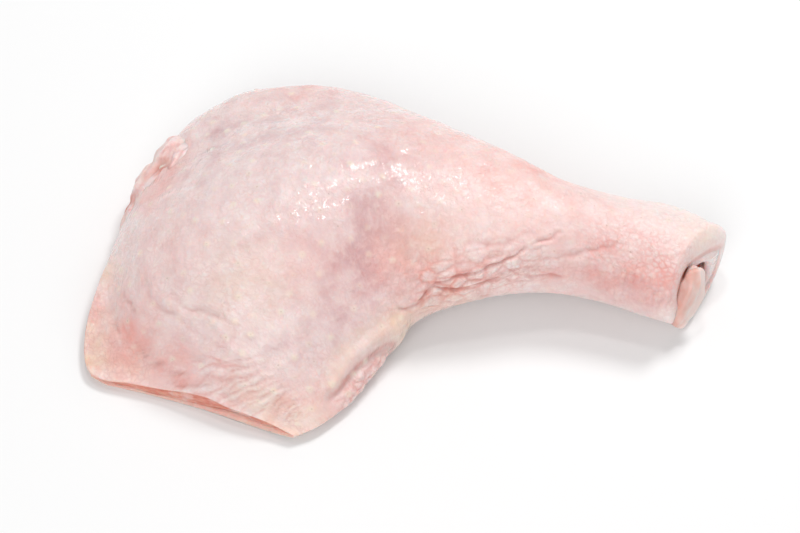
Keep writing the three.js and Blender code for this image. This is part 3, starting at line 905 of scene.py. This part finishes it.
def skin_height(points, u, zones, settings):
    """Height in mm that the skin stands out at each point, the blood in its folds, and how much more blood
    than usual shows through."""
    calm = (1 - zones.shank) * (1 - zones.apron)
    patches = ease(wander(points, 14.0, 31.0), -0.35, 0.35)
    fine = crinkle(points, FINE_LINES, 2.0)
    coarse = crinkle(points, COARSE_LINES, 12.0)
    rolls = pillows(fanned(points), ROLL, 8.0)
    cobbles = pillows(along_lie(points, KNEE_LIE, 0.55), COBBLE, 11.0)
    pearls = pillows(points, PEARL, 6.0)
    run = points @ (np.array(SHANK_LIE) / np.linalg.norm(SHANK_LIE))
    ridges = np.sin(2 * math.pi * run / RIDGE + 4.0 * wander(points, 4.0, 13.0))
    ridges = ridges * ease(wander(points, 5.0, 17.0), -0.5, 0.5)
    folds, red = crease_field(points)
    bumps = settings.goose_bumps

    # slow swells all over, then fine and coarse lines, and each pattern in its own zone
    height = zones.up * (0.42 * wander(points, 15.0, 1.0) + 0.2 * wander(points, 6.0, 5.0))
    height -= zones.up * fine * lerp(0.07, 0.03, calm * (1 - 0.7 * patches))
    height -= zones.up * coarse * (0.08 * calm * patches + 0.22 * zones.side + 0.08 * zones.shank)
    height += (0.7 * rolls - 0.35) * zones.fan
    height += (0.75 * cobbles - 0.3) * np.clip(zones.knee + 0.8 * zones.flap, 0, 1) * bumps
    height += (0.2 * pearls - 0.1) * zones.ankle_top * bumps
    height += (0.26 * ridges + 0.14 * pearls) * zones.ankle_side * bumps
    height -= folds * settings.crease_depth
    # the rolled edge over the flap, and the groove under it
    height += zones.fold * (1.5 * bell(zones.past_fold, -1.2, 1.4) - 0.8 * bell(zones.past_fold, 1.4, 0.8))

    # blood lies in the groove under the fold, and in the low lines between cobbles, rolls and ridges
    blood = red + 0.6 * bell(zones.past_fold, 0.8, 0.6) * zones.fold
    blood += 0.25 * np.clip(zones.knee + 0.6 * zones.flap, 0, 1) * (1 - ease(cobbles, 0.1, 0.65))
    blood += 0.25 * zones.fan * (1 - ease(rolls, 0.1, 0.6)) + 0.3 * coarse * zones.side
    blood += 0.06 * fine * zones.up + 0.2 * (1 - ease(ridges, -0.9, -0.2)) * zones.ankle_side
    # the tops of cobbles, rolls and pearls are white fat, and the blood shows between them
    kinds = ((cobbles, zones.knee + zones.flap), (rolls, zones.fan), (pearls, 0.7 * zones.ankle_top))
    valley = sum((1.6 * (1 - ease(top, 0.2, 0.9)) - 0.85) * np.clip(zone, 0, 1) for top, zone in kinds)
    return height, np.clip(blood, 0, 1), valley


def skin_tones(points, zones, blood, valley):
    """How mauve, rosy and fatty the skin is at each point, and the blood in its folds."""
    tones = np.zeros(points.shape[:-1] + (4,))
    for tone, patches in PATCHES.items():
        for run, degrees, radius, amount in patches:
            middle = leg_surface(run, math.radians(degrees), 0.0, hem_stand)
            away = np.linalg.norm(points - middle, axis=-1)
            tones[..., tone] += amount * bell(away, 0, radius)
    # fat lies along the fold over the flap, dark meat shows all over the thigh in a mauve that is partly
    # painted shade darkening its top, and all tones come and go
    tones[..., FAT] += 0.5 * bell(zones.past_fold, -2.6, 2.6) * zones.fold
    tones[..., MAUVE] += 0.42 * (1 - zones.shank) * (1 - zones.apron)
    breakup = 0.85 + 0.6 * wander(points, 6.0, 21.0)
    tones *= breakup[..., None]
    relief = np.clip(zones.knee + zones.flap + zones.fan + zones.ankle_top, 0, 1)
    tones[..., BLUSH] = np.maximum(tones[..., BLUSH], 0.25 * relief) * (1 + valley)
    tones[..., MAUVE] *= 1 - 0.5 * np.clip(-valley, 0, 1)
    tones = np.clip(tones, 0, 1)
    tones[..., BLOOD] = blood
    return tones


class LEG_OT_skin(Operator):
    """Build the skin: a sleeve over thigh and drumstick with creases, goose bumps and follicles"""

    bl_idname = "chicken_leg.skin"
    bl_label = "Skin"

    def execute(self, context):
        settings = context.scene.chicken_skin
        rows, outer = skin_rings()
        even = np.arange(SKIN_TOP) / SKIN_TOP
        top = math.pi * lerp(even, 1 - (1 - even) ** 1.5, FRONT_FIRST)
        angles = np.concatenate([top, math.pi * (1 + np.arange(SKIN_UNDER) / SKIN_UNDER)])[None, :]
        u = slanted(rows[:, :1], angles)
        points = leg_surface(u, angles, rows[:, 1:2], hem_stand, rows[:, 2:3])
        angles = np.broadcast_to(angles, u.shape)
        # the relief is worked out for the outside alone, and the inside is left smooth
        outside, run, turn = points[:outer], u[:outer], angles[:outer]
        zones = SkinZones(outside, run, turn)
        height, blood, valley = skin_height(outside, run, zones, settings)
        allowed = (run > 0.02) & (run < 0.93) & (np.sin(turn) > -0.02)
        follicles = follicle_field(outside, allowed, settings.follicle_spacing / MM)
        follicles[..., 1] *= (1 - 0.6 * zones.shank) * (1 - 0.7 * zones.apron) * (1 - 0.9 * zones.knee)
        bump = GOOSE_BUMP * bell(follicles[..., 0], 0, GOOSE_BUMP_REACH)
        height += bump * follicles[..., 1] * settings.goose_bumps
        # a crease cuts only so far into the skin
        normal = grid_normals(points)[:outer]
        inside = leg_surface(run, turn, WALL, hem_stand, rows[:outer, 2:3])
        thickness = np.maximum(((outside - inside) * normal).sum(axis=-1), 0)
        height = np.maximum(height, -DEEPEST * thickness)
        # and the relief dies away at the hem and over the lip
        ring = np.arange(outer)
        fade = ease(ring, 0, 6) * (1 - ease(ring, outer - LIP_RINGS, outer - LIP_RINGS / 3))
        points[:outer] += normal * (height * fade[:, None])[..., None]
        points[..., 2] = np.maximum(points[..., 2], 0)

        count, sides = u.shape
        # one ring more than there is joins the last to the first, which closes the sleeve's wall
        faces = grid_faces(count + 1, sides) % (count * sides)
        material = raw_chicken_skin(settings)
        skin = make_object("skin_sleeve", points.reshape(-1, 3), faces, material)
        # the inside is rosy, and fatty towards the hip cut
        tones = np.zeros((count, sides, 4))
        near_hip = 1 - ease(rows[:, :1], 0.02, 0.12)
        tones[..., BLUSH] = 0.3 + 0.6 * near_hip
        tones[..., FAT] = 0.35 * near_hip
        tones[:outer] = skin_tones(outside, zones, blood, valley)
        # the lip's rim is red along its upper side
        tones[outer - 2:outer + 2, :, BLOOD] += 0.5 * np.maximum(np.sin(angles[:1]), 0)
        spots = no_follicles((count, sides))
        spots[:outer] = follicles
        attribute(skin, "tone", tones, "FLOAT_COLOR")
        attribute(skin, "follicle", spots, "FLOAT_VECTOR")
        attribute(skin, "lie", lie_of(points), "FLOAT_VECTOR")
        net = np.zeros(u.shape)
        net[:outer] = np.clip(zones.knee + zones.flap + 0.7 * zones.ankle_top + 0.5 * zones.apron, 0, 1)
        attribute(skin, "net", net, "FLOAT")
        put(skin, "skin")
        self.fold(material)
        return {"FINISHED"}

    def fold(self, material):
        """The skin that is folded in over the tendon at the hock."""
        turn = np.radians(np.linspace(*FOLD_SPAN, 97))
        half = in_rows(FOLD_HALF_WIDTH, np.linspace(0, 1, len(turn)))[:, None]
        thick = 0.3 * half + 0.5
        path = leg_surface(slanted(FOLD_AT, turn), turn, 0.5 + half[:, 0], hem_stand, FOLD_CLOSING)
        inward = path.mean(axis=0) - path
        inward /= np.linalg.norm(inward, axis=-1, keepdims=True)
        path -= 0.4 * thick * MOUTH_FACING
        round_it = np.linspace(0, 2 * math.pi, 33)[None, :-1]
        wide = (half * np.cos(round_it))[..., None] * inward[:, None]
        deep = (thick * np.sin(round_it))[..., None] * MOUTH_FACING
        points = path[:, None] + wide + deep
        points += grid_normals(points) * (0.25 * wander(points, 3.0, 4.0))[..., None]
        close_ends(points)
        faces = grid_faces(len(points), points.shape[1])
        fold = make_object("skin_fold", points.reshape(-1, 3), faces, material)
        tones = np.zeros(points.shape[:-1] + (4,))
        tones[..., MAUVE] = 0.25
        attribute(fold, "tone", tones, "FLOAT_COLOR")
        attribute(fold, "follicle", no_follicles(points.shape[:-1]), "FLOAT_VECTOR")
        attribute(fold, "lie", lie_of(points), "FLOAT_VECTOR")
        weld(fold, 0.01 * MM)
        put(fold, None)


# ---------------------------------------------------------------------------------------------------------
# Flesh and tendon
# ---------------------------------------------------------------------------------------------------------

FLESH_TOP = 130  # sides of the flesh over the top, and as many along the underside
FLESH_INSET = WALL - 0.1  # pressed into the skin, with no gap to look into
FLESH_TO = 0.975  # where along the leg its end starts to close
FLESH_SUNK = 0.03  # how much further back it ends on the far side of the hock
FLESH_HIP_BULGE = 0.5  # mm that its cut face bulges out
FLESH_HOCK_BULGE = np.array([0.7, -0.4, 0.0])  # and its end in the hock, towards the mouth
CAP_RINGS = 8

# Lumps of fat and membrane at the back corner: middle, half lengths in mm, and turn in degrees from above.
LUMPS = (
    ((-77.5, 25.5, 9), (5.5, 10.5, 7), -32),
    ((-82.5, 14, 7), (4.5, 9.5, 5.5), -20),
    ((-71.3, 33.8, 11.2), (6, 9, 7.5), -42),
    ((-84.5, 6.5, 5.6), (3.2, 6, 4), -10),
    ((-74.5, 24.5, 12.5), (4.5, 8.5, 4.5), -28),
    ((-78.5, 14.5, 10.0), (4, 7.5, 4.5), -18),
    ((-70, 32.5, 14.5), (4, 7.5, 4.5), -40),
    ((-68.5, 29.5, 17.0), (2.6, 8.0, 2.6), -34),
    ((-73.0, 19.5, 14.8), (2.2, 7.5, 2.2), -24),
    ((-78.0, 9.0, 11.0), (2.0, 6.5, 2.0), -16),
)
# Spots of white fat and of blood on them: middle and radius in mm.
FAT_SPOTS = (((-78, 29, 13), 4.0), ((-70, 35, 15), 3.2), ((-81, 21, 11), 2.6))
BLOOD_SPOTS = (((-86, 17, 8), 4.0), ((-74, 25, 16), 3.0), ((-80, 13, 13), 2.5))
MEMBRANE_STEP = 0.55  # mm between the points of the skin drawn over the lumps
MEMBRANE_LIE = (-0.5, -0.85, -0.2)  # the way that its strings run


class LEG_OT_flesh(Operator):
    """Build the flesh: the core that shows at the hip cut and in the hock, and the torn back corner"""

    bl_idname = "chicken_leg.flesh"
    bl_label = "Flesh"

    def execute(self, context):
        settings = context.scene.chicken_flesh
        self.core(settings)
        self.corner(settings)
        return {"FINISHED"}

    def core(self, settings):
        angles = (np.arange(2 * FLESH_TOP) / FLESH_TOP * math.pi)[None, :]
        body = np.concatenate([np.linspace(0, 0.03, 12), np.linspace(0.05, FLESH_TO, 46)])[:, None]
        points = leg_surface(slanted(body, angles, FLESH_SUNK), angles, FLESH_INSET, flesh_stand)
        t = np.linspace(0, math.pi / 2, 7)[1:, None]
        end = slanted(FLESH_TO + 0.02 * np.sin(t), angles, FLESH_SUNK)
        lip = leg_surface(end, angles, FLESH_INSET, flesh_stand, 1 - np.cos(t))
        # both ends close towards the line halfway between top and underside
        mirror = (-np.arange(2 * FLESH_TOP)) % (2 * FLESH_TOP)

        def cap(ring, bulge):
            middle = (ring + ring[mirror]) / 2
            share = np.linspace(0, 1, CAP_RINGS + 1)[1:, None, None]
            return lerp(ring, middle, share) + bulge * np.sqrt(1 - (1 - share) ** 2)

        outward = points[0] - points[3]
        outward /= np.linalg.norm(outward, axis=-1, keepdims=True)
        hip = cap(points[0], FLESH_HIP_BULGE * outward)[::-1]
        hock = cap(lip[-1], FLESH_HOCK_BULGE)
        points = np.concatenate([hip, points, lip, hock])
        height = 0.25 * wander(points, 4.0, 2.0) + 0.12 * wander(points, 1.6, 6.0)
        points[1:-1] += (grid_normals(points) * height[..., None])[1:-1]
        points[0] = (points[0] + points[0][mirror]) / 2
        points[-1] = (points[-1] + points[-1][mirror]) / 2
        faces = grid_faces(len(points), points.shape[1])
        flesh = make_object("flesh_core", points.reshape(-1, 3), faces, raw_dark_meat(settings))
        weld(flesh, 0.01 * MM)
        put(flesh, "flesh")

    def corner(self, settings):
        """Fat and membrane that stand out past the skin at the back corner."""
        made = bmesh.new()
        for middle, half, degrees in LUMPS:
            turn = Matrix.Translation(middle) @ Matrix.Rotation(math.radians(degrees), 4, "Z")
            stretch = Matrix.Diagonal((*half, 1))
            bmesh.ops.create_icosphere(made, subdivisions=4, radius=1.0, matrix=turn @ stretch)
        points = np.array([vertex.co[:] for vertex in made.verts])
        points[:, 2] = np.maximum(points[:, 2], 0.4)
        faces = [[vertex.index for vertex in face.verts] for face in made.faces]
        made.free()
        obj = make_object("flesh_corner", points, faces, fatty_membrane(settings))
        remesh = obj.modifiers.new("Skin over", "REMESH")
        remesh.mode = "VOXEL"
        remesh.voxel_size = MEMBRANE_STEP * MM
        soften = obj.modifiers.new("Soften", "SMOOTH")
        soften.factor = 0.6
        soften.iterations = 8
        settle(obj)
        place = np.array([vertex.co[:] for vertex in obj.data.vertices]) / MM
        normal = np.array([vertex.normal[:] for vertex in obj.data.vertices])
        own = place - SHIFT
        strings = crinkle(along_lie(own, MEMBRANE_LIE, 0.35), 3.0, 6.0)
        lumps = 0.55 * wander(own, 4.5, 3.0) + 0.25 * wander(own, 2.0, 7.0) - 0.45 * strings
        moved = (place + normal * lumps[:, None]) * MM
        moved[:, 2] = np.maximum(moved[:, 2], 0)
        obj.data.vertices.foreach_set("co", moved.astype(np.float32).ravel())
        obj.data.update()
        for polygon in obj.data.polygons:
            polygon.use_smooth = True
        clouds = ease(wander(own, 4.0, 12.0), 0.0, 0.4)
        fields = {"fat": (FAT_SPOTS, 0.8, 0.0), "blood": (BLOOD_SPOTS, 0.0, 0.32)}
        for name, (spots, in_clouds, on_strings) in fields.items():
            field = in_clouds * clouds
            for middle, radius in spots:
                field += 0.9 * bell(np.linalg.norm(own - np.array(middle), axis=-1), 0, radius)
            attribute(obj, name, np.clip(field + on_strings * strings, 0, 1), "FLOAT")
        put(obj, None)


# The tendon: middle and axis, and half its length, width and depth in mm.
TENDON_MIDDLE = np.array([86.4, -20.5, 12.8])
TENDON_AXIS = np.array([5.3, 9.6, 13.0])
TENDON_HALF = 9.8
TENDON_WIDE = 5.2
TENDON_DEEP = 3.6


class LEG_OT_tendon(Operator):
    """Build the tendon that stands in the mouth of the skin at the hock"""

    bl_idname = "chicken_leg.tendon"
    bl_label = "Tendon"

    def execute(self, context):
        settings = context.scene.chicken_tendon
        axis = TENDON_AXIS / np.linalg.norm(TENDON_AXIS)
        front = MOUTH_FACING - (MOUTH_FACING @ axis) * axis
        front /= np.linalg.norm(front)
        side = np.cross(front, axis)
        t = np.linspace(0, math.pi, 41)[:, None]
        turn = np.linspace(0, 2 * math.pi, 57)[None, :-1]
        run = (-TENDON_HALF * np.cos(t))[..., None] * axis
        swell = np.sin(t) ** 0.6
        wide = TENDON_WIDE * swell * (0.85 - 0.2 * np.cos(t))
        points = TENDON_MIDDLE + run + (wide * np.cos(turn))[..., None] * side
        points = points + (TENDON_DEEP * swell * np.sin(turn))[..., None] * front
        # cords run along it, and a ridge down its outer face
        cords = wander(along_lie(points, axis, 0.3), 2.4, 5.0)
        ridge = bell(np.cos(turn), -0.5, 0.25) * (np.sin(turn) > 0) * swell
        height = 0.9 * cords + 0.3 * wander(points, 4.0, 2.0) + 1.2 * ridge
        points += grid_normals(points) * height[..., None]
        rosy = ease(np.cos(turn) + 0.7 * wander(points, 4.0, 9.0), 0.2, 1.1)
        close_ends(points)
        points[..., 2] = np.maximum(points[..., 2], 0.3)
        faces = grid_faces(len(points), points.shape[1])
        tendon = make_object("tendon_lobe", points.reshape(-1, 3), faces, wet_tendon(settings))
        attribute(tendon, "rosy", rosy, "FLOAT")
        weld(tendon, 0.01 * MM)
        put(tendon, "tendon")
        return {"FINISHED"}


# ---------------------------------------------------------------------------------------------------------
# Stage
# ---------------------------------------------------------------------------------------------------------

# Metres. The key's size is a setting.
CAMERA_ELEVATION = math.radians(55.0)
CAMERA_DISTANCE = 0.695
CAMERA_LENS = 100.0  # mm
CAMERA_SENSOR = 36.0  # mm
FLOOR_HALF = 3.0
KEY_PLACE = (0.42, 0.62, 1.0)
LAMP_PLACE = (-0.02, 0.3, 1.1)
LAMP_SIZE = 0.16
FILL_PLACE = (-0.28, -0.98, 0.85)
FILL_SIZE = 1.0


class LEG_OT_stage(Operator):
    """Set the leg on matt white paper under soft light, with a camera above its front"""

    bl_idname = "chicken_leg.stage"
    bl_label = "Stage"

    def execute(self, context):
        settings = context.scene.chicken_stage
        scene = context.scene
        scene.view_settings.view_transform = "Standard"
        mesh = bpy.data.meshes.new("floor")
        corners = [(x * FLOOR_HALF, y * FLOOR_HALF, 0) for x, y in ((-1, -1), (1, -1), (1, 1), (-1, 1))]
        mesh.from_pydata(corners, [], [(0, 1, 2, 3)])
        mesh.materials.append(matte_paper(settings))
        floor = bpy.data.objects.new("floor", mesh)
        scene.collection.objects.link(floor)

        world = bpy.data.worlds.new("Studio")
        world.use_nodes = True
        world.node_tree.nodes.clear()
        sky = add(world.node_tree, "Background", {"Color": (1, 1, 1, 1), "Strength": settings.sky})
        add(world.node_tree, "OutputWorld", {"Surface": sky})
        scene.world = world

        # the lights and the camera are aimed at the form's own origin
        target = Vector((SHIFT[0] * MM, SHIFT[1] * MM, 0))
        self.area("key", KEY_PLACE, target, settings.key_size, settings.key)
        self.area("lamp", LAMP_PLACE, target, LAMP_SIZE, settings.lamp)
        self.area("fill", FILL_PLACE, target, FILL_SIZE, settings.fill)

        data = bpy.data.cameras.new("Camera")
        data.lens = CAMERA_LENS
        data.sensor_width = CAMERA_SENSOR
        data.clip_start = 0.01
        camera = bpy.data.objects.new("Camera", data)
        scene.collection.objects.link(camera)
        back = Vector((0, -math.cos(CAMERA_ELEVATION), math.sin(CAMERA_ELEVATION)))
        camera.location = target + back * CAMERA_DISTANCE
        camera.rotation_euler = (-back).to_track_quat("-Z", "Y").to_euler()
        scene.camera = camera
        return {"FINISHED"}

    def area(self, name, place, target, size, power):
        data = bpy.data.lights.new(name, "AREA")
        data.shape = "DISK"
        data.size = size
        data.energy = power
        light = bpy.data.objects.new(name, data)
        bpy.context.scene.collection.objects.link(light)
        light.location = place
        light.rotation_euler = (target - light.location).to_track_quat("-Z", "Y").to_euler()


class LEG_PT_panel(Panel):
    """Lists what the leg is built from"""

    bl_label = "Chicken Leg"
    bl_idname = "LEG_PT_panel"
    bl_space_type = "VIEW_3D"
    bl_region_type = "UI"
    bl_category = "Chicken Leg"

    def draw(self, context):
        for group, operator in PIECES:
            box = self.layout.box()
            settings = getattr(context.scene, group)
            for name in settings.__annotations__:
                box.prop(settings, name)
            box.operator(operator)


PIECES = (
    ("chicken_skin", "chicken_leg.skin"),
    ("chicken_flesh", "chicken_leg.flesh"),
    ("chicken_tendon", "chicken_leg.tendon"),
    ("chicken_stage", "chicken_leg.stage"),
)
GROUPS = {
    "chicken_skin": ChickenSkinSettings,
    "chicken_flesh": ChickenFleshSettings,
    "chicken_tendon": ChickenTendonSettings,
    "chicken_stage": ChickenStageSettings,
}
CLASSES = (*GROUPS.values(), LEG_OT_skin, LEG_OT_flesh, LEG_OT_tendon, LEG_OT_stage, LEG_PT_panel)
SHIFT = to_frame()


def register():
    for cls in CLASSES:
        bpy.utils.register_class(cls)
    for name, group in GROUPS.items():
        setattr(bpy.types.Scene, name, PointerProperty(type=group))


def unregister():
    for name in GROUPS:
        delattr(bpy.types.Scene, name)
    for cls in reversed(CLASSES):
        bpy.utils.unregister_class(cls)


def main():
    register()
    bpy.ops.chicken_leg.skin()
    bpy.ops.chicken_leg.flesh()
    bpy.ops.chicken_leg.tendon()
    bpy.ops.chicken_leg.stage()


if __name__ == "__main__":
    main()
